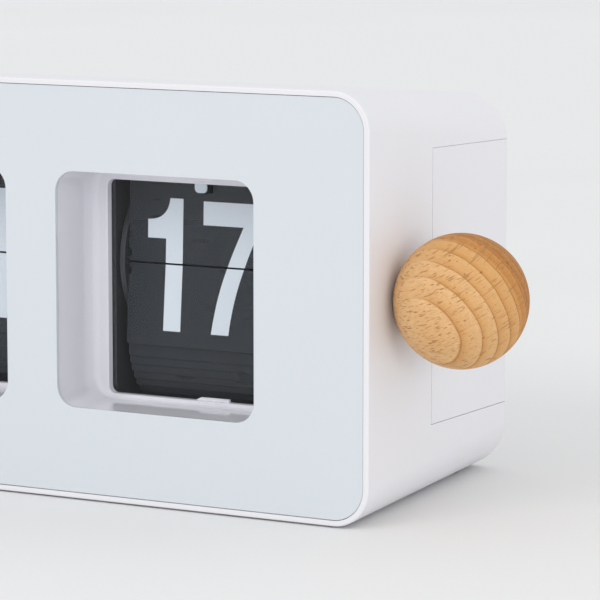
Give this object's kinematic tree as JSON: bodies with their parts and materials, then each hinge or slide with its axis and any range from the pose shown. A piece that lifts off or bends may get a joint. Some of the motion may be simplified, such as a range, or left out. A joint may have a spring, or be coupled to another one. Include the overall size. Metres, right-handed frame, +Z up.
{
  "type": "flip number clock",
  "caption": "Desk clock in a tapered white case: split leaf cards in two deep windows show the time, and a wooden ball on the right sets it.",
  "frame": {"origin": "middle of the case's flat underside, in width and in depth", "axes": "+X towards the wooden knob, +Y towards the rear cover, +Z up; the windows face -Y"},
  "size_m": [0.2104, 0.086, 0.1004],
  "materials": {
    "shell": "satin moulded white with a very fine grain",
    "panel": "high-gloss white sheet",
    "lens": "clear flat sheet, polished",
    "bezel": "semi-gloss white",
    "leaf": "fine matt black film",
    "drum": "matt black",
    "white_trim": "white film and print",
    "steel": "plain rolled",
    "brass": "machined",
    "gear": "natural acetal",
    "wood": "turned beech, thin clear oil",
    "rubber": "matt",
    "board": "solder mask",
    "cell": "plain shrink sleeve"
  },
  "bodies": {
    "clock": {"main_case": "shell", "rear_cover": "shell", "front_panel": "panel", "clear_sheet": "lens", "hour_bezel": "bezel", "minute_bezel": "bezel", "frame_base": "steel", "frame_plate_hour_outer": "drum", "frame_plate_hour_inner": "drum", "frame_plate_minute_inner": "drum", "frame_plate_minute_outer": "drum", "stop_bar": "steel", "carry_shaft": "steel", "idler_shaft": "steel", "gear_plate": "steel", "motor": "steel", "knob_bush": "brass", "battery_tray": "drum", "circuit_board": "board", "cover_screw_1": "steel", "foot_1": "rubber", "cover_screw_2": "steel", "foot_2": "rubber", "cover_screw_3": "steel", "foot_3": "rubber", "cover_screw_4": "steel", "foot_4": "rubber", "battery_cell_1": "cell", "battery_spring_1": "steel", "battery_cell_2": "cell", "battery_spring_2": "steel", "hour_clip": "white_trim", "hour_next_leaf": "leaf", "hour_lower_leaf": "leaf", "hour_waiting_leaves": "leaf", "minute_clip": "white_trim", "minute_next_leaf": "leaf", "minute_lower_leaf": "leaf", "minute_waiting_leaves": "leaf"},
    "knob": {"knob_ball": "wood", "knob_shaft": "steel", "knob_pinion": "brass"},
    "minute_drum": {"minute_shaft": "steel", "minute_spool": "drum", "minute_disc_left": "drum", "minute_disc_right": "drum", "minute_wheel": "gear", "minute_carry_pinion": "brass"},
    "hour_drum": {"hour_shaft": "steel", "hour_spool": "drum", "hour_disc_left": "drum", "hour_disc_right": "drum", "hour_wheel": "gear"},
    "carry": {"carry_gear": "gear"},
    "idler": {"idler_gear": "gear"},
    "motor_rotor": {"motor_shaft": "steel", "motor_pinion": "brass"},
    "minute_flap": {"minute_upper_leaf": "leaf"},
    "hour_flap": {"hour_upper_leaf": "leaf"},
    "battery_lid": {"battery_door": "shell"}
  },
  "joints": [
    {"name": "knob_turn", "type": "hinge", "parent": "clock", "child": "knob", "pos_m": [0.0893, -0.0235, 0.0513], "axis": [1, 0, 0], "continuous": true},
    {"name": "minute_drum_turn", "type": "hinge", "parent": "clock", "child": "minute_drum", "pos_m": [0.0338, -0.0003, 0.0546], "axis": [1, 0, 0], "continuous": true},
    {"name": "hour_drum_turn", "type": "hinge", "parent": "clock", "child": "hour_drum", "pos_m": [-0.0338, -0.0003, 0.0546], "axis": [1, 0, 0], "continuous": true},
    {"name": "carry_gear_turn", "type": "hinge", "parent": "clock", "child": "carry", "pos_m": [0, -0.0003, 0.0366], "axis": [1, 0, 0], "continuous": true},
    {"name": "idler_turn", "type": "hinge", "parent": "clock", "child": "idler", "pos_m": [0.065, 0.00526, 0.03385], "axis": [1, 0, 0], "continuous": true},
    {"name": "motor_turn", "type": "hinge", "parent": "clock", "child": "motor_rotor", "pos_m": [0.0677, 0.02065, 0.03114], "axis": [1, 0, 0], "continuous": true},
    {"name": "minute_leaf_flip", "type": "hinge", "parent": "clock", "child": "minute_flap", "pos_m": [0.0338, -0.02045, 0.0546], "axis": [1, 0, 0], "range_deg": [0, 176.7]},
    {"name": "hour_leaf_flip", "type": "hinge", "parent": "clock", "child": "hour_flap", "pos_m": [-0.0338, -0.02045, 0.0546], "axis": [1, 0, 0], "range_deg": [0, 176.7]},
    {"name": "battery_door_open", "type": "hinge", "parent": "clock", "child": "battery_lid", "pos_m": [0, 0.04295, 0.0213], "axis": [-1, 0, 0], "range_deg": [0, 100]}
  ],
  "couplings": [
    {"joint": "minute_drum_turn", "follows": "knob_turn", "ratio": -0.33333},
    {"joint": "carry_gear_turn", "follows": "knob_turn", "ratio": 0.083333},
    {"joint": "hour_drum_turn", "follows": "knob_turn", "ratio": -0.013889},
    {"joint": "idler_turn", "follows": "knob_turn", "ratio": 1.5},
    {"joint": "motor_turn", "follows": "knob_turn", "ratio": -4.5}
  ]
}
